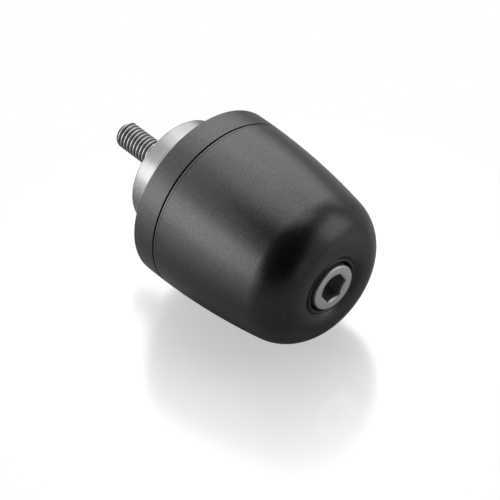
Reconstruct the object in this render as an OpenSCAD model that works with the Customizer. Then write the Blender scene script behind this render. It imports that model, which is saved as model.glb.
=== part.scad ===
// Handlebar end weight: a crowned, round-nosed weight, a collar ring behind it,
// a turned spacer, and one long socket screw that clamps them to the end of the bar.
// The turning axis lies along X, with the nose at +X. The origin is the centre of the
// spacer's rear face, the face that seats on the end of the bar.

/* [Barrel] */
// Diameter at the crown of the barrel, halfway along the collar
crown_d = 40.1; // [34:0.1:48]
// Radius of the gentle crown along the barrel
barrel_r = 157; // [110:1:400]
// Length of the weight from the collar to its nose
nose_l = 33.9; // [30:0.1:45]
// Radius of the shoulder between the barrel and the nose
shoulder_r = 10.2; // [8:0.1:12]
// Width of the shadow line between the collar and the weight
seam_w = 0.35; // [0.2:0.05:0.6]
// Depth of the shadow line
seam_depth = 1.1; // [0.6:0.1:2]
// Broken edges beside the shadow line and at the back of the collar
edge_break = 0.25; // [0.1:0.05:0.4]

/* [Nose] */
// Turn of the section, in degrees from the axis, where the shoulder gives way to the crest
crest_turn = 25; // [20:1:32]
// Radius of the nose's section at its crest
crest_r = 6; // [5.5:0.1:6.5]
// Width of the recess round the hole for the screw's head
recess_w = 1.8; // [1.7:0.1:2.2]
// Depth of the recess
recess_depth = 0.8; // [0.5:0.1:0.8]
// Slope of the recess's wall, in degrees
recess_slope = 40; // [40:1:55]
// Radius of the raised bead round the mouth of the hole
bead_r = 0.35; // [0.2:0.05:0.4]

/* [Collar] */
// Width of the collar
collar_w = 5.9; // [4:0.1:10]
// Diameter of the spigot that centres the collar
spigot_d = 20; // [17:0.5:23]
// Running clearance of the collar on its spigot, on the radius
spigot_clear = 0.05; // [0.02:0.01:0.1]
// How far the spigot stops short of the collar's rear face
spigot_short = 0.3; // [0.1:0.1:1]

/* [Spacer] */
// Outside diameter of the spacer
spacer_d = 25.4; // [24:0.1:30]
// Width of the spacer
spacer_w = 9.5; // [6:0.1:12]
// Chamfer at the rear rim, which seats on the bar
spacer_chamfer = 0.5; // [0.2:0.1:1]
// Countersink at the rear mouth of the spacer's hole
spacer_mouth = 1; // [0.4:0.1:1.5]

/* [Screw] */
// Thread diameter
thread_d = 6; // [5.6:0.1:6.4]
// Length of the thread
thread_l = 17.25; // [14:0.1:24]
// Length under the head
screw_l = 60; // [56:0.5:66]
// Diameter of the plain shank, which is thinner than the thread
shank_d = 5.35; // [4.6:0.05:5.5]
// Diameter of the head
head_d = 10.5; // [9.8:0.1:11]
// Height of the head
head_h = 6; // [5:0.1:7]
// Rounding of the head's top edge
head_round = 0.4; // [0.2:0.1:0.9]
// How far the head lies below the crest of the nose
head_sink = 0.1; // [0:0.1:0.6]
// Size of the hex key, across the flats
key_w = 6; // [5:0.5:6.5]
// Depth of the key socket
key_depth = 3.8; // [3:0.1:4]
// Width of the chamfer round the socket, beyond its corners
key_chamfer = 0.15; // [0.05:0.05:0.3]
// Turn of the socket about the axis, in degrees
key_turn = 1.6; // [0:0.1:60]
// Chamfer at the tip of the thread
tip_chamfer = 0.7; // [0.3:0.1:1]

/* [Clearances] */
// Clearance of the screw in its holes, on the radius
hole_clear = 0.3; // [0.1:0.05:0.5]
// Clearance round the screw's head, on the radius
head_clear = 0.65; // [0.4:0.05:0.8]
// Broken edges of the holes
hole_break = 0.2; // [0.1:0.05:0.3]

/* [Hidden] */

round_fn = 180;
arc_step = 3; // degrees between the points of an arc
bead_step = 22.5; // and of the small bead
wall_steps = 26; // points along the crowned wall
eps = 0.01;

// Stations along the axis
collar_back = spacer_w;
seam_x = collar_back + collar_w;
crown_x = collar_back + collar_w / 2;
nose_x = seam_x + nose_l;

// Crowned wall: an arc whose highest point is halfway along the collar
function wall_radius(x) = crown_d / 2 - barrel_r + sqrt(pow(barrel_r, 2) - pow(x - crown_x, 2));

// Points [x, radius] of an arc, from angle a to angle b, measured from the +X direction
function arc(centre, r, a, b, step = arc_step) =
    let (n = max(2, ceil(abs(b - a) / step)))
    [for (i = [0 : n]) let (t = a + (b - a) * i / n) centre + r * [cos(t), sin(t)]];

// The shoulder lies inside the crowned wall and touches it, and reaches forward to the nose
wall_centre = [crown_x, crown_d / 2 - barrel_r];
shoulder_x = nose_x - shoulder_r;
shoulder_centre = [
    shoulder_x,
    wall_centre[1] + sqrt(pow(barrel_r - shoulder_r, 2) - pow(shoulder_x - crown_x, 2))
];
shoulder_back = atan2(shoulder_centre[1] - wall_centre[1], shoulder_centre[0] - wall_centre[0]);
shoulder_joint_x = shoulder_centre[0] + shoulder_r * cos(shoulder_back);

// The crest lies inside the shoulder and touches it
crest_centre = shoulder_centre + (shoulder_r - crest_r) * [cos(crest_turn), sin(crest_turn)];
crest_top_x = crest_centre[0] + crest_r;

// The crest runs in to the rim of the recess, and the recess's wall down to the bead
head_hole_r = head_d / 2 + head_clear;
rim_r = head_hole_r + recess_w;
rim_angle = -asin((crest_centre[1] - rim_r) / crest_r);
recess_x = crest_centre[0] + crest_r * cos(rim_angle) - recess_depth;

// Screw stations: the head bears on its seat, and the tip stands out behind the spacer
head_top_x = crest_top_x - head_sink;
seat_x = head_top_x - head_h;
tip_x = seat_x - screw_l;
thread_end_x = tip_x + thread_l;
hole_r = thread_d / 2 + hole_clear;
key_corner_r = key_w / sqrt(3) + key_chamfer;

// Lays a profile drawn as [x, radius] round the X axis
module turned(profile) {
    rotate([0, 90, 0])
        rotate_extrude($fn = round_fn)
            polygon([for (p = profile) [p[1], p[0]]]);
}

module weight() {
    rim_x = seam_x + seam_w;
    wall_start_x = rim_x + edge_break;
    spigot_x = collar_back + spigot_short;
    color([0.09, 0.09, 0.095])
        turned(concat(
            [
                [spigot_x, hole_r + hole_break],
                [spigot_x, spigot_d / 2 - edge_break],
                [spigot_x + edge_break, spigot_d / 2],
                [seam_x, spigot_d / 2],
                [seam_x, wall_radius(rim_x) - seam_depth],
                [rim_x, wall_radius(rim_x) - seam_depth],
                [rim_x, wall_radius(rim_x) - edge_break]
            ],
            [for (i = [0 : wall_steps - 1])
                let (x = wall_start_x + (shoulder_joint_x - wall_start_x) * i / wall_steps)
                [x, wall_radius(x)]],
            arc(shoulder_centre, shoulder_r, shoulder_back, crest_turn),
            arc(crest_centre, crest_r, crest_turn - arc_step, rim_angle),
            [[recess_x, rim_r - recess_depth / tan(recess_slope)]],
            arc([recess_x, head_hole_r + bead_r], bead_r, 90, -90, bead_step),
            [
                [seat_x, head_hole_r],
                [seat_x, hole_r],
                [spigot_x + hole_break, hole_r]
            ]
        ));
}

module collar() {
    bore_r = spigot_d / 2 + spigot_clear;
    color([0.11, 0.11, 0.115])
        turned([
            [collar_back, bore_r + edge_break],
            [collar_back, wall_radius(collar_back) - edge_break],
            [collar_back + edge_break, wall_radius(collar_back + edge_break)],
            [crown_x, crown_d / 2],
            [seam_x - edge_break, wall_radius(seam_x - edge_break)],
            [seam_x, wall_radius(seam_x) - edge_break],
            [seam_x, bore_r + edge_break],
            [seam_x - edge_break, bore_r],
            [collar_back + edge_break, bore_r]
        ]);
}

module spacer() {
    color([0.78, 0.78, 0.79])
        turned([
            [0, hole_r + spacer_mouth],
            [0, spacer_d / 2 - spacer_chamfer],
            [spacer_chamfer, spacer_d / 2],
            [spacer_w - edge_break, spacer_d / 2],
            [spacer_w, spacer_d / 2 - edge_break],
            [spacer_w, hole_r + hole_break],
            [spacer_w - hole_break, hole_r],
            [spacer_mouth, hole_r]
        ]);
}

// Hexagonal key socket, with its mouth chamfered to just beyond the corners
module key_socket() {
    translate([head_top_x - key_depth, 0, 0])
        rotate([key_turn, 0, 0])
            rotate([90, 0, 90])
                linear_extrude(key_depth + eps)
                    circle(r = key_w / sqrt(3), $fn = 6);
    turned([
        [head_top_x - key_corner_r, 0],
        [head_top_x + eps, 0],
        [head_top_x + eps, key_corner_r + eps]
    ]);
}

module screw() {
    head_edge = [head_top_x - head_round, head_d / 2 - head_round];
    color([0.66, 0.66, 0.67])
        difference() {
            turned(concat(
                [
                    [tip_x, 0],
                    [tip_x, thread_d / 2 - tip_chamfer],
                    [tip_x + tip_chamfer, thread_d / 2],
                    [thread_end_x, thread_d / 2],
                    [thread_end_x, shank_d / 2],
                    [seat_x, shank_d / 2],
                    [seat_x, head_d / 2]
                ],
                arc(head_edge, head_round, 90, 0),
                [[head_top_x, 0]]
            ));
            key_socket();
        }
}

weight();
collar();
spacer();
screw();
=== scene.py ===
import math
import bpy
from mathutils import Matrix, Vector


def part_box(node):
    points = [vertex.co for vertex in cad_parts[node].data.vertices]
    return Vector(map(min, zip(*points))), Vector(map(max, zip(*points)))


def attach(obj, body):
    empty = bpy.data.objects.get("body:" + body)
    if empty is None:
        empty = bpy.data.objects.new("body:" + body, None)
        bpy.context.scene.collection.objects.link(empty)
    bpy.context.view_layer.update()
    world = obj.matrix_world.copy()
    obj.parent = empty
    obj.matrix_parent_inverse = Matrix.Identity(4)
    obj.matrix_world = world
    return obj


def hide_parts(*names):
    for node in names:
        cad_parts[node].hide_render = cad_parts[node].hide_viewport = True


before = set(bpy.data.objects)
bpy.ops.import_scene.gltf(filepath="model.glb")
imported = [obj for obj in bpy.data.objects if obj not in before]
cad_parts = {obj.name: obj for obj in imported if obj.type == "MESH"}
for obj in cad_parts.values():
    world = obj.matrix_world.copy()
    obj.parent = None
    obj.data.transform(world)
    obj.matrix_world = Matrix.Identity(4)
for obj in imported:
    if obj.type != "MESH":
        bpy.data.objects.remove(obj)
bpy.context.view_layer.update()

mm = 0.001  # all sizes below are in millimetres unless a note says otherwise


# Camera, at the photograph's angle
camera = {
    "place": (290.87, -254.58, 323.84),  # from the centre of the seat on the bar
    "turn": (48.143, -1.422, 47.656),  # degrees
    "lens": 168.88,
    "sensor": 36,
}


def addCamera():
    print("Camera")
    place = Vector(camera["place"]) * mm
    angles = [math.radians(angle) for angle in camera["turn"]]
    bpy.ops.object.camera_add(location=place, rotation=angles)
    cameraObject = bpy.context.object
    cameraObject.name = "camera"
    cameraObject.data.lens = camera["lens"]
    cameraObject.data.sensor_width = camera["sensor"]
    cameraObject.data.clip_start = 0.01
    bpy.context.scene.camera = cameraObject


addCamera()


# Modelling helpers
seedSize = 0.1
weldGap = 0.002  # points closer than this become one
wallGap = 0.4  # from a rounded edge to the next point of the crowned wall


def deselectAll():
    if bpy.context.object is not None and bpy.context.object.mode != "OBJECT":
        bpy.ops.object.mode_set(mode="OBJECT")
    bpy.ops.object.select_all(action="DESELECT")


def boxOf(node):
    low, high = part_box(node)
    return Vector(low) / mm, Vector(high) / mm


def arc(centre, radius, start, end, steps=12):
    # points (x, distance from the axis), with angles in degrees from the +X direction
    points = []
    for i in range(steps + 1):
        angle = math.radians(start + (end - start) * i / steps)
        points.append((centre[0] + radius * math.cos(angle), centre[1] + radius * math.sin(angle)))
    return points


def startVertex(name, x, r):
    # a small plane merged to one vertex, left in edit mode
    deselectAll()
    bpy.ops.mesh.primitive_plane_add(size=seedSize * mm, location=(x * mm, 0, r * mm))
    bpy.context.object.name = name
    bpy.ops.object.transform_apply(location=True, rotation=True, scale=True)
    bpy.ops.object.mode_set(mode="EDIT")
    bpy.ops.mesh.select_mode(type="VERT")
    bpy.ops.mesh.select_all(action="SELECT")
    bpy.ops.mesh.merge(type="CENTER")


def extrudeTo(along, out):
    bpy.ops.mesh.extrude_region_move(TRANSFORM_OT_translate={"value": (along * mm, 0, out * mm)})


def turn(name, profile, steps=192, closed=True):
    # a profile drawn point by point, then spun round the X axis
    x, r = profile[0]
    startVertex(name, x, r)
    path = profile[1:] + [profile[0]] if closed else profile[1:]
    for nextX, nextR in path:
        extrudeTo(nextX - x, nextR - r)
        x, r = nextX, nextR
    bpy.ops.mesh.select_all(action="SELECT")
    bpy.ops.mesh.remove_doubles(threshold=weldGap * mm)
    bpy.ops.mesh.spin(steps=steps, angle=math.tau, center=(0, 0, 0), axis=(1, 0, 0))
    bpy.ops.mesh.select_all(action="SELECT")
    bpy.ops.mesh.remove_doubles(threshold=weldGap * mm)
    bpy.ops.mesh.normals_make_consistent(inside=False)
    bpy.ops.object.mode_set(mode="OBJECT")
    return bpy.context.object


def applyModifier(piece, kind, **settings):
    bpy.context.view_layer.objects.active = piece
    modifier = piece.modifiers.new(kind.title(), kind)
    for key, value in settings.items():
        setattr(modifier, key, value)
    bpy.ops.object.modifier_apply(modifier=modifier.name)


def combine(piece, other, operation):
    deselectAll()
    applyModifier(piece, "BOOLEAN", operation=operation, solver="EXACT", object=other)
    bpy.data.objects.remove(other, do_unlink=True)


def smooth(piece, angle=28):
    deselectAll()
    piece.select_set(True)
    bpy.context.view_layer.objects.active = piece
    bpy.ops.object.shade_smooth_by_angle(angle=math.radians(angle))
    applyModifier(piece, "WEIGHTED_NORMAL", keep_sharp=True, weight=100)


def finishPiece(piece, node, material):
    piece.data.materials.clear()
    piece.data.materials.append(material)
    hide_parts(node)
    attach(piece, "root")


# Shader groups that several finishes share
def newGroup(name, inputs, outputs):
    group = bpy.data.node_groups.new(name, "ShaderNodeTree")
    for socketName, kind, value in inputs:
        socket = group.interface.new_socket(name=socketName, in_out="INPUT", socket_type=kind)
        socket.default_value = value
    for socketName, kind in outputs:
        group.interface.new_socket(name=socketName, in_out="OUTPUT", socket_type=kind)
    start = group.nodes.new("NodeGroupInput")
    end = group.nodes.new("NodeGroupOutput")
    return group, start, end


def addNode(tree, kind, settings=None, **values):
    # a value's key is the socket's name, or s and its number
    node = tree.nodes.new(kind)
    for key, value in (settings or {}).items():
        setattr(node, key, value)
    for key, value in values.items():
        numbered = key[0] == "s" and key[1:].isdigit()
        socket = node.inputs[int(key[1:])] if numbered else node.inputs[key]
        if isinstance(value, bpy.types.NodeSocket):
            tree.links.new(value, socket)
        else:
            socket.default_value = value
    return node


def math2(tree, operation, first, second=0.0):
    return addNode(tree, "ShaderNodeMath", {"operation": operation}, s0=first, s1=second).outputs[0]


def remap(tree, value, low, high, start=0.0, stop=1.0):
    node = addNode(tree, "ShaderNodeMapRange", Value=value)
    node.inputs["From Min"].default_value = start
    node.inputs["From Max"].default_value = stop
    node.inputs["To Min"].default_value = low
    node.inputs["To Max"].default_value = high
    return node.outputs["Result"]


def placeOnAxis(tree):
    # how far a point lies along the turning axis, and how far from it, in metres
    coords = addNode(tree, "ShaderNodeTexCoord").outputs["Object"]
    parts = addNode(tree, "ShaderNodeSeparateXYZ", Vector=coords)
    across = addNode(tree, "ShaderNodeCombineXYZ", Y=parts.outputs["Y"], Z=parts.outputs["Z"])
    away = addNode(tree, "ShaderNodeVectorMath", {"operation": "LENGTH"}, s0=across.outputs[0])
    return parts.outputs["X"], away.outputs["Value"]


# Fine grain left by blasting, under the anodising
grainsPerCloud = 30.0


def makeBlastGrain():
    group, start, end = newGroup(
        "blastGrain",
        [("Grain size mm", "NodeSocketFloat", 0.2)],
        [("Height", "NodeSocketFloat"), ("Cloud", "NodeSocketFloat")])
    coords = addNode(group, "ShaderNodeTexCoord").outputs["Object"]
    scale = math2(group, "DIVIDE", 1000.0, start.outputs["Grain size mm"])
    grain = addNode(group, "ShaderNodeTexNoise", Vector=coords, Scale=scale, Detail=2.0, Roughness=0.6)
    cloudScale = math2(group, "DIVIDE", scale, grainsPerCloud)
    cloud = addNode(group, "ShaderNodeTexNoise", Vector=coords, Scale=cloudScale, Detail=3.0)
    group.links.new(grain.outputs["Fac"], end.inputs["Height"])
    group.links.new(cloud.outputs["Fac"], end.inputs["Cloud"])
    return group


# Lines left by a lathe tool: round the axis on a wall, in rings on an end face
linesPerBand = 8.0


def makeTurningLines():
    group, start, end = newGroup(
        "turningLines",
        [("Line width mm", "NodeSocketFloat", 0.1)],
        [("Lines", "NodeSocketFloat"), ("Bands", "NodeSocketFloat")])
    along, away = placeOnAxis(group)
    travel = math2(group, "ADD", along, away)
    scale = math2(group, "DIVIDE", 1000.0, start.outputs["Line width mm"])
    lines = addNode(group, "ShaderNodeTexNoise", {"noise_dimensions": "1D"},
                    W=travel, Scale=scale, Detail=2.0, Roughness=0.7)
    bandScale = math2(group, "DIVIDE", scale, linesPerBand)
    bands = addNode(group, "ShaderNodeTexNoise", {"noise_dimensions": "1D"},
                    W=travel, Scale=bandScale, Detail=1.0)
    group.links.new(lines.outputs["Fac"], end.inputs["Lines"])
    group.links.new(bands.outputs["Fac"], end.inputs["Bands"])
    return group


print("Shader groups")
blastGrain = makeBlastGrain()
turningLines = makeTurningLines()


bumpHeight = 0.02
pitRange = (0.35, 0.65)  # levels of the grain between the bottom of a pit and level ground
lineRange = (0.3, 0.7)  # colours over a turning line, before the bands are added


def newMaterial(name):
    material = bpy.data.materials.new(name)
    material.use_nodes = True
    tree = material.node_tree
    return material, tree, tree.nodes["Principled BSDF"]


def placeGroup(tree, group, **values):
    node = tree.nodes.new("ShaderNodeGroup")
    node.node_tree = group
    for key, value in values.items():
        node.inputs[key].default_value = value
    return node


def mixColours(tree, factor, first, second):
    node = tree.nodes.new("ShaderNodeMix")
    node.data_type = "RGBA"
    tree.links.new(factor, node.inputs["Factor"])
    node.inputs["A"].default_value = (*first, 1)
    node.inputs["B"].default_value = (*second, 1)
    return node.outputs["Result"]


def overlay(tree, colour, mask, top):
    node = tree.nodes.new("ShaderNodeMix")
    node.data_type = "RGBA"
    tree.links.new(mask, node.inputs["Factor"])
    tree.links.new(colour, node.inputs["A"])
    node.inputs["B"].default_value = (*top, 1)
    return node.outputs["Result"]


# Painted shade: a darker colour in the thread's roots and deeper down in the key socket
def paintedRecessShadeMask(tree, paintedRecessShade):
    along, away = placeOnAxis(tree)
    inRoot = remap(tree, away, 0, 1, paintedRecessShade["shadeStart"] * mm, paintedRecessShade["shadeFull"] * mm)
    behind = math2(tree, "LESS_THAN", along, paintedRecessShade["threadEnd"] * mm)
    onThread = math2(tree, "MULTIPLY", inRoot, behind)
    mouth, dark = paintedRecessShade["top"] - paintedRecessShade["mouthDepth"], paintedRecessShade["top"] - paintedRecessShade["darkDepth"]
    down = remap(tree, along, 0, 1, mouth * mm, dark * mm)
    within = math2(tree, "LESS_THAN", away, paintedRecessShade["socketRadius"] * mm)
    inHead = math2(tree, "GREATER_THAN", along, seatX * mm)
    inSocket = math2(tree, "MULTIPLY", within, inHead)
    inSocket = math2(tree, "MULTIPLY", inSocket, math2(tree, "MULTIPLY", down, paintedRecessShade["inSocket"]))
    return math2(tree, "MAXIMUM", onThread, inSocket)


# Thin band that runs round the barrel
def bandMask(tree, band):
    along = placeOnAxis(tree)[0]
    middle, half = band["middle"] * mm, band["width"] / 2 * mm
    fore = remap(tree, along, 0, 1, middle - half, middle)
    aft = remap(tree, along, 1, 0, middle, middle + half)
    return math2(tree, "MULTIPLY", math2(tree, "MULTIPLY", fore, aft), band["strength"])


# Painted light: a paler colour inside the hole for the screw's head
def paintedBoreLightMask(tree, radius):
    away = placeOnAxis(tree)[1]
    return math2(tree, "LESS_THAN", away, radius * mm)


# Satin black anodising on blasted aluminium; where given, a painted highlight and a line of painted
# shade beside the seam, and painted light inside the hole for the screw's head
def makeBlackAnodised(name, finish, paintedSeamHighlight=None, paintedSeamShade=None, bore=None):
    material, tree, shader = newMaterial(name)
    grain = placeGroup(tree, blastGrain, **{"Grain size mm": finish["grain"]})
    colour = mixColours(tree, grain.outputs["Cloud"], finish["dark"], finish["light"])
    # painted highlight: a paler band beside the seam
    if paintedSeamHighlight:
        colour = overlay(tree, colour, bandMask(tree, paintedSeamHighlight), paintedSeamHighlight["colour"])
    # painted light: a paler colour inside the hole for the screw's head
    if bore:
        colour = overlay(tree, colour, paintedBoreLightMask(tree, bore["radius"]), bore["colour"])
    tree.links.new(colour, shader.inputs["Base Color"])
    height = grain.outputs["Height"]
    tree.links.new(remap(tree, height, *finish["roughness"]), shader.inputs["Roughness"])
    pits = remap(tree, height, *finish["pits"], *pitRange)
    # painted shade: a faint line beside the seam with less gloss
    if paintedSeamShade:
        pits = math2(tree, "MAXIMUM", pits, bandMask(tree, paintedSeamShade))
    tree.links.new(pits, shader.inputs["Metallic"])  # takes gloss away from the pits
    bump = addNode(tree, "ShaderNodeBump", Strength=finish["bump"], Distance=bumpHeight * mm,
                   Height=height)
    tree.links.new(bump.outputs["Normal"], shader.inputs["Normal"])
    shader.inputs["IOR"].default_value = finish["ior"]
    return material


# Bright metal with turning lines
def makeTurnedMetal(name, finish, paintedRecessShade=None):
    material, tree, shader = newMaterial(name)
    marks = placeGroup(tree, turningLines, **{"Line width mm": finish["line"]})
    lines = marks.outputs["Lines"]
    shade = remap(tree, lines, 0, 1, *lineRange)
    shade = math2(tree, "MULTIPLY", math2(tree, "ADD", shade, marks.outputs["Bands"]), 0.5)
    colour = mixColours(tree, shade, finish["dark"], finish["light"])
    # painted shade in the thread's roots and key socket, where given
    if paintedRecessShade:
        colour = overlay(tree, colour, paintedRecessShadeMask(tree, paintedRecessShade), paintedRecessShade["colour"])
    tree.links.new(colour, shader.inputs["Base Color"])
    tree.links.new(remap(tree, lines, *finish["roughness"]), shader.inputs["Roughness"])
    bump = addNode(tree, "ShaderNodeBump", Strength=finish["bump"], Distance=bumpHeight * mm,
                   Height=lines)
    tree.links.new(bump.outputs["Normal"], shader.inputs["Normal"])
    shader.inputs["Metallic"].default_value = 1
    return material


# Weight: crowned barrel, rounded shoulder and crest, with a recess and a bead round the screw's head
weight = {
    "barrelRadius": 157,
    "noseLength": 33.9,  # from the collar
    "shoulderRadius": 10.2,
    "crestTurn": 25,  # where the shoulder gives way to the crest, in degrees from the axis
    "crestRadius": 6,
    "recessWidth": 1.8,  # sloped recess round the hole for the screw's head
    "recessDepth": 0.8,
    "recessSlope": 40,
    "beadRadius": 0.35,  # raised ring at the mouth of the hole
    "seamWidth": 0.35,
    "seamDepth": 1.1,
    "rimRound": 0.1,
    "spigotDiameter": 20,
    "spigotShort": 0.3,
    "screwHole": 6.6,
    "headHole": 11.8,
    "headDepth": 6,  # from the top of the screw's head down to its seat
    "edgeRound": 0.2,
    "finish": {"dark": (0.004, 0.004, 0.0042), "light": (0.006, 0.006, 0.0062), "grain": 0.3,
               "roughness": (0.24, 0.38), "pits": (0.35, 0), "bump": 0.35, "ior": 1.9},
    # a painted highlight beside the seam, then a faint line of painted shade where gloss is taken away
    "paintedSeamHighlight": {"fromRim": 0.16, "width": 0.3, "strength": 1, "colour": (0.14, 0.14, 0.14)},
    "paintedSeamShade": {"fromRim": 0.46, "width": 0.28, "strength": 1},
    # painted light: a paler colour inside the hole for the screw's head
    "bore": {"past": 0.04, "colour": (0.1, 0.1, 0.1)},  # inside the hole for the screw's head
}

collarLow, collarHigh = boxOf("collar")
screwLow, screwHigh = boxOf("screw")
spacerLow, spacerHigh = boxOf("spacer")
crownX = (collarLow.x + collarHigh.x) / 2
crownRadius = collarHigh.z
seatX = screwHigh.x - weight["headDepth"]


def wallRadius(x):
    barrel = weight["barrelRadius"]
    return crownRadius - barrel + math.sqrt(barrel ** 2 - (x - crownX) ** 2)


def wallLine(start, end, steps):
    return [(start + (end - start) * i / steps, wallRadius(start + (end - start) * i / steps))
            for i in range(steps + 1)]


def makeWeight():
    print("Weight")
    barrel, shoulder = weight["barrelRadius"], weight["shoulderRadius"]
    rimX = collarHigh.x + weight["seamWidth"]
    spigotX = collarLow.x + weight["spigotShort"]
    spigotR, holeR = weight["spigotDiameter"] / 2, weight["screwHole"] / 2
    headR, edge, rim = weight["headHole"] / 2, weight["edgeRound"], weight["rimRound"]
    grooveR = wallRadius(rimX) - weight["seamDepth"]

    # the shoulder touches the barrel's arc from inside, and the crest touches the shoulder's
    shoulderX = collarHigh.x + weight["noseLength"] - shoulder
    shoulderR = crownRadius - barrel + math.sqrt((barrel - shoulder) ** 2 - (shoulderX - crownX) ** 2)
    shoulderStart = math.degrees(math.atan2(shoulderR - crownRadius + barrel, shoulderX - crownX))
    wallEnd = shoulderX + shoulder * math.cos(math.radians(shoulderStart))
    crest, crestTurn = weight["crestRadius"], weight["crestTurn"]
    crestX = shoulderX + (shoulder - crest) * math.cos(math.radians(crestTurn))
    crestR = shoulderR + (shoulder - crest) * math.sin(math.radians(crestTurn))

    # the crest runs in to the rim of the recess, and the recess down to the bead
    rimR, bead = headR + weight["recessWidth"], weight["beadRadius"]
    rimAngle = -math.degrees(math.asin((crestR - rimR) / crest))
    recessX = crestX + crest * math.cos(math.radians(rimAngle)) - weight["recessDepth"]
    recessR = rimR - weight["recessDepth"] / math.tan(math.radians(weight["recessSlope"]))

    profile = [(spigotX, holeR + edge)]
    profile += arc((spigotX + edge, spigotR - edge), edge, 180, 90, 4)
    profile += [(collarHigh.x, spigotR), (collarHigh.x, grooveR), (rimX, grooveR)]
    profile += arc((rimX + rim, wallRadius(rimX) - rim), rim, 180, 90, 6)
    profile += wallLine(rimX + rim + wallGap, wallEnd, 24)
    profile += arc((shoulderX, shoulderR), shoulder, shoulderStart, crestTurn, 30)[1:]
    profile += arc((crestX, crestR), crest, crestTurn, rimAngle, 20)[1:]
    profile += [(recessX, recessR)]
    profile += arc((recessX, headR + bead), bead, 90, -90, 10)
    profile += [(seatX, headR), (seatX, holeR), (spigotX + edge, holeR)]
    piece = turn("weightBody", profile)
    smooth(piece)
    # a painted highlight beside the seam
    paintedSeamHighlight = dict(weight["paintedSeamHighlight"], middle=rimX + weight["paintedSeamHighlight"]["fromRim"])
    # a faint line of painted shade beside the seam
    paintedSeamShade = dict(weight["paintedSeamShade"], middle=rimX + weight["paintedSeamShade"]["fromRim"])
    # painted light inside the hole for the screw's head
    bore = dict(weight["bore"], radius=headR + weight["bore"]["past"])
    finishPiece(piece, "weight",
                makeBlackAnodised("blackAnodised", weight["finish"], paintedSeamHighlight, paintedSeamShade, bore))


makeWeight()


# Collar: plain ring behind the weight
collar = {
    "bore": 20.1,
    "edgeRound": 0.18,
    "seamRound": 0.08,
    "finish": {"dark": (0.005, 0.005, 0.0052), "light": (0.008, 0.008, 0.0082), "grain": 0.32,
               "roughness": (0.28, 0.42), "pits": (0.35, 0), "bump": 0.35, "ior": 1.95},
}


def makeCollar():
    print("Collar")
    edge, seam, boreR = collar["edgeRound"], collar["seamRound"], collar["bore"] / 2
    back, front = collarLow.x, collarHigh.x
    profile = arc((back + edge, boreR + edge), edge, -90, -180, 4)
    profile += arc((back + edge, wallRadius(back + edge) - edge), edge, 180, 90, 5)
    profile += wallLine(back + edge + wallGap, front - edge - wallGap, 6)
    profile += arc((front - seam, wallRadius(front - seam) - seam), seam, 90, 0, 5)
    profile += arc((front - edge, boreR + edge), edge, 0, -90, 4)
    piece = turn("collarRing", profile)
    smooth(piece)
    finishPiece(piece, "collar", makeBlackAnodised("blackCollar", collar["finish"]))


makeCollar()


# Spacer: bright turned ring that seats on the end of the bar
spacer = {
    "hole": 6.6,
    "mouth": 1,
    "rearRound": 0.5,
    "frontRound": 0.25,
    "finish": {"dark": (0.27, 0.27, 0.274), "light": (0.46, 0.46, 0.464), "line": 0.3,
               "roughness": (0.2, 0.34), "bump": 0.6},
}


def makeSpacer():
    print("Spacer")
    back, front = spacerLow.x, spacerHigh.x
    radius, holeR = spacerHigh.z, spacer["hole"] / 2
    rear, fore, mouth = spacer["rearRound"], spacer["frontRound"], spacer["mouth"]
    profile = [(back + mouth, holeR), (back, holeR + mouth)]
    profile += arc((back + rear, radius - rear), rear, 180, 90, 6)
    profile += arc((front - fore, radius - fore), fore, 90, 0, 4)
    profile += [(front, holeR + fore), (front - fore, holeR)]
    piece = turn("spacerRing", profile)
    smooth(piece)
    finishPiece(piece, "spacer", makeTurnedMetal("turnedMetal", spacer["finish"]))


makeSpacer()


# Screw: socket head, plain shank and rolled thread
cutPast = 1  # how far a cutting piece stands out of what it cuts
screw = {
    "headRound": 0.4,
    "underRound": 0.2,
    "shank": 5.35,
    "keyWidth": 6,
    "keyDepth": 3.8,
    "keyMouth": 6.9,  # a shallow cone that reaches the corners
    "keyMouthSlope": 30,  # degrees
    "keyTurn": 1.6,  # degrees
    "drillPoint": 0.5,
    "drillLess": 0.05,  # the drilled bottom's radius, short of the flats
    "drillLap": 0.1,  # how far its cone reaches up into the socket
    "threadRadius": 3,
    "pitch": 1,
    "lead": 1.5,  # pitches by which the helix starts behind the tip
    "spareTurns": 3,
    "threadDepth": 0.61,
    "crest": 0.12,
    "root": 0.16,
    "threadEnd": 1.4,  # inside the spacer
    "runOut": 0.6,
    "tipChamfer": 0.7,
    "shankOverlap": 1.5,  # the shank runs on inside the thread
    "shankChamfer": 0.4,
    "finish": {"dark": (0.7, 0.7, 0.7), "light": (0.9, 0.9, 0.905), "line": 0.15,
               "roughness": (0.38, 0.5), "bump": 0.25},
    # painted shade in the thread's roots and the key socket: radius at which it starts on the thread
    # and is full, and depths below the top of the head
    "paintedRecessShade": {"colour": (0.24, 0.24, 0.24), "shadeStart": 3.0, "shadeFull": 2.86,
              "inSocket": 0.76, "mouthDepth": 0.35, "darkDepth": 0.9, "socketRadius": 3.55},
}


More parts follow.
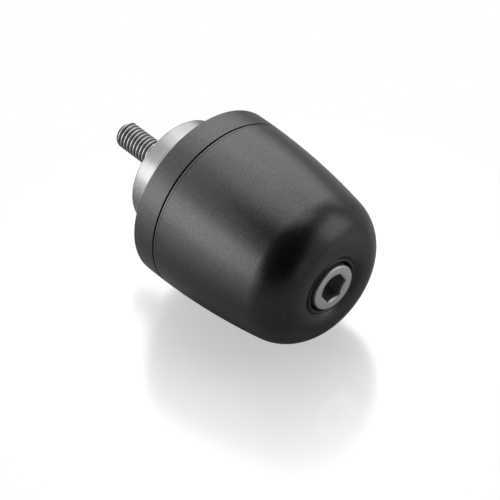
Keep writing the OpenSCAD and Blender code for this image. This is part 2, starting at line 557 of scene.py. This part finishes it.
def makeThread():
    # one tooth and its root, turned into a helix and trimmed to a chamfered rod
    pitch, depth, radius = screw["pitch"], screw["threadDepth"], screw["threadRadius"]
    flank = (pitch - screw["crest"] - screw["root"]) / 2
    tip, end = screwLow.x, screw["threadEnd"]
    turns = math.ceil((end - tip) / pitch) + screw["spareTurns"]
    tooth = [(flank, depth), (screw["crest"], 0), (flank, -depth), (screw["root"], 0)]
    startVertex("thread", tip - screw["lead"] * pitch, radius - depth)
    for along, out in tooth:
        extrudeTo(along, out)
    bpy.ops.object.mode_set(mode="OBJECT")
    thread = bpy.context.object
    applyModifier(thread, "SCREW", axis="X", screw_offset=pitch * mm, iterations=turns,
                  steps=48, render_steps=48, use_merge_vertices=False)
    bpy.ops.object.mode_set(mode="EDIT")
    bpy.ops.mesh.select_all(action="SELECT")
    bpy.ops.mesh.remove_doubles(threshold=weldGap * mm)
    bpy.ops.mesh.select_all(action="DESELECT")
    bpy.ops.mesh.select_non_manifold()
    bpy.ops.mesh.edge_face_add()
    bpy.ops.mesh.select_all(action="SELECT")
    bpy.ops.mesh.normals_make_consistent(inside=False)
    bpy.ops.object.mode_set(mode="OBJECT")
    chamfer, runOut = screw["tipChamfer"], screw["runOut"]
    rod = turn("rod", [(tip, 0), (tip, radius - chamfer), (tip + chamfer, radius),
                       (end - runOut, radius), (end, radius - runOut), (end, 0)],
               steps=96, closed=False)
    combine(thread, rod, "INTERSECT")
    return thread


def cutKeySocket(piece):
    # a cone chamfers the mouth, and a six-sided hole goes down to a drilled bottom
    top = screwHigh.x
    cornerR = screw["keyWidth"] / math.sqrt(3)
    mouthR = screw["keyMouth"] / 2
    bottom, drill = top - screw["keyDepth"], screw["drillPoint"]
    rise = math.tan(math.radians(screw["keyMouthSlope"]))
    coneTop = top + cutPast * rise
    cone = turn("cone", [(top - mouthR * rise, 0), (coneTop, mouthR + cutPast), (coneTop, 0)],
                steps=144, closed=False)
    combine(piece, cone, "DIFFERENCE")
    deselectAll()
    bpy.ops.mesh.primitive_cylinder_add(
        vertices=6, radius=cornerR * mm, depth=(top + cutPast - bottom) * mm,
        location=((top + cutPast + bottom) / 2 * mm, 0, 0), rotation=(0, math.pi / 2, 0))
    key = bpy.context.object
    bpy.ops.object.mode_set(mode="EDIT")
    bpy.ops.mesh.select_all(action="SELECT")
    bpy.ops.transform.rotate(value=-math.radians(screw["keyTurn"]), orient_axis="X",
                             center_override=(0, 0, 0))
    bpy.ops.object.mode_set(mode="OBJECT")
    bpy.ops.object.transform_apply(location=True, rotation=True, scale=True)
    combine(piece, key, "DIFFERENCE")
    drillR, drillTop = screw["keyWidth"] / 2 - screw["drillLess"], bottom + screw["drillLap"]
    drillCone = turn("drill", [(bottom - drill, 0), (drillTop, drillR), (drillTop, 0)],
                     steps=96, closed=False)
    combine(piece, drillCone, "DIFFERENCE")


def makeScrew():
    print("Screw")
    top, headR = screwHigh.x, screwHigh.z
    rounding, shankR, under = screw["headRound"], screw["shank"] / 2, screw["underRound"]
    start, chamfer = screw["threadEnd"] - screw["shankOverlap"], screw["shankChamfer"]
    profile = [(start, 0), (start, shankR - chamfer), (start + chamfer, shankR), (seatX, shankR)]
    profile += arc((seatX + under, headR - under), under, 180, 90, 4)
    profile += arc((top - rounding, headR - rounding), rounding, 90, 0, 8)
    profile += [(top, 0)]
    piece = turn("clampScrew", profile, steps=144, closed=False)
    cutKeySocket(piece)
    combine(piece, makeThread(), "UNION")
    smooth(piece)
    # painted shade in the thread's roots and down in the key socket
    paintedRecessShade = dict(screw["paintedRecessShade"], top=top, threadEnd=screw["threadEnd"])
    finishPiece(piece, "screw", makeTurnedMetal("stainless", screw["finish"], paintedRecessShade))


makeScrew()


# Studio: a white glossy table, tipped as the weight lies on its crowned barrel, and soft light
studio = {
    "tip": 5.23,  # degrees, nose down
    "tableGap": 20.4,  # from the centre of the seam down to the table
    "tableSize": 420,
    "tableRoughness": 0.2,
    "tableColour": 0.62,
    "tableGlow": 0.49,
    "tableGloss": (1.8, 3.0),  # refraction for other rays, and for the camera
    "fadeCentre": (12, 0, 0),  # on the table, from the point under the seam
    "tableFade": (10, 74),  # where it starts to turn into the white background, and is all white
    # which way each lamp stands from the spacer and how far, its size and how bright it looks
    "lights": {
        "backSoftbox": {"toward": (-0.58, 0.66, 0.58), "away": 700, "size": (560, 640), "glow": 0.8},
        "topSoftbox": {"toward": (-0.42, 0.17, 0.89), "away": 700, "size": (450, 410), "glow": 0.75},
        "leftSoftbox": {"toward": (-0.50, -0.84, 0.22), "away": 700, "size": (560, 370), "glow": 1.65},
        "frontSoftbox": {"toward": (0.64, 0.62, 0.42), "away": 700, "size": (460, 440), "glow": 0.95},
        "rearSoftbox": {"toward": (-0.93, -0.30, 0.12), "away": 700, "size": (360, 400), "glow": 0.5},
    },
    # black and grey cards that shade the reflections, and that the camera does not see
    "cards": {
        "cameraCard": {"toward": (0.50, -0.54, 0.66), "away": 600, "size": (1070, 1100), "shade": 0},
        "frontCard": {"toward": (0.73, 0.55, 0.47), "away": 800, "size": (1500, 1350), "shade": 0.28},
        "backCard": {"toward": (-0.42, 0.90, 0.06), "away": 800, "size": (1100, 470), "shade": 0.35},
    },
    "worldGlow": 0.33,
}


def faceObject(piece, toward, distance):
    direction = Vector(toward).normalized()
    piece.location = direction * distance * mm
    piece.rotation_euler = direction.to_track_quat("Z", "Y").to_euler()


def makeTable():
    seamCentre = Vector((collarHigh.x, 0, 0))
    tip = math.radians(studio["tip"])
    normal = Vector((-math.sin(tip), 0, math.cos(tip)))
    deselectAll()
    bpy.ops.mesh.primitive_circle_add(
        vertices=96, radius=studio["tableSize"] * mm, fill_type="NGON",
        location=(seamCentre - normal * studio["tableGap"]) * mm, rotation=(0, -tip, 0))
    table = bpy.context.object
    table.name = "table"
    material, tree, shader = newMaterial("whiteTable")
    shader.inputs["Base Color"].default_value = [studio["tableColour"]] * 3 + [1]
    shader.inputs["Roughness"].default_value = studio["tableRoughness"]
    shader.inputs["Emission Color"].default_value = (1, 1, 1, 1)
    paths = addNode(tree, "ShaderNodeLightPath")
    gloss = remap(tree, paths.outputs["Is Camera Ray"], *studio["tableGloss"])
    tree.links.new(gloss, shader.inputs["IOR"])
    glow = math2(tree, "MULTIPLY", paths.outputs["Is Camera Ray"], studio["tableGlow"])
    tree.links.new(glow, shader.inputs["Emission Strength"])

    # far from the weight the table turns into the white background
    coords = addNode(tree, "ShaderNodeTexCoord").outputs["Object"]
    centre = [side * mm for side in studio["fadeCentre"]]
    away = addNode(tree, "ShaderNodeVectorMath", {"operation": "DISTANCE"}, s0=coords, s1=centre)
    near, far = studio["tableFade"]
    fade = addNode(tree, "ShaderNodeMapRange", {"interpolation_type": "SMOOTHSTEP"},
                   Value=away.outputs["Value"])
    fade.inputs["From Min"].default_value = near * mm
    fade.inputs["From Max"].default_value = far * mm
    factor = math2(tree, "MULTIPLY", fade.outputs["Result"], paths.outputs["Is Camera Ray"])
    white = addNode(tree, "ShaderNodeEmission", Color=(1, 1, 1, 1), Strength=1.0)
    mix = tree.nodes.new("ShaderNodeMixShader")
    tree.links.new(factor, mix.inputs["Fac"])
    tree.links.new(shader.outputs["BSDF"], mix.inputs[1])
    tree.links.new(white.outputs["Emission"], mix.inputs[2])
    tree.links.new(mix.outputs["Shader"], tree.nodes["Material Output"].inputs["Surface"])
    table.data.materials.append(material)


def makeLights():
    for name, light in studio["lights"].items():
        bpy.ops.object.light_add(type="AREA")
        lamp = bpy.context.object
        lamp.name = name
        faceObject(lamp, light["toward"], light["away"])
        lamp.data.shape = "RECTANGLE"
        lamp.data.size, lamp.data.size_y = [side * mm for side in light["size"]]
        lamp.data.energy = light["glow"] * math.pi * lamp.data.size * lamp.data.size_y


def makeCards():
    for name, card in studio["cards"].items():
        material, _, shader = newMaterial(name)
        shader.inputs["Base Color"].default_value = (0, 0, 0, 1)
        shader.inputs["Specular IOR Level"].default_value = 0
        shader.inputs["Emission Color"].default_value = (1, 1, 1, 1)
        shader.inputs["Emission Strength"].default_value = card["shade"]
        deselectAll()
        bpy.ops.mesh.primitive_plane_add(size=1)
        sheet = bpy.context.object
        sheet.name = name
        faceObject(sheet, card["toward"], card["away"])
        sheet.scale = [side * mm for side in card["size"]] + [1]
        sheet.data.materials.append(material)
        sheet.visible_camera = False


def makeWorld():
    world = bpy.data.worlds.new("studio")
    bpy.context.scene.world = world
    world.use_nodes = True
    tree = world.node_tree
    background = tree.nodes["Background"]
    background.inputs["Color"].default_value = (1, 1, 1, 1)
    paths = addNode(tree, "ShaderNodeLightPath")
    sees = math2(tree, "MAXIMUM", paths.outputs["Is Camera Ray"], paths.outputs["Is Glossy Ray"])
    sees = math2(tree, "MAXIMUM", sees, paths.outputs["Is Transmission Ray"])
    glow = remap(tree, sees, studio["worldGlow"], 1)
    tree.links.new(glow, background.inputs["Strength"])
    bpy.context.scene.view_settings.view_transform = "Standard"


print("Studio")
makeTable()
makeLights()
makeCards()
makeWorld()
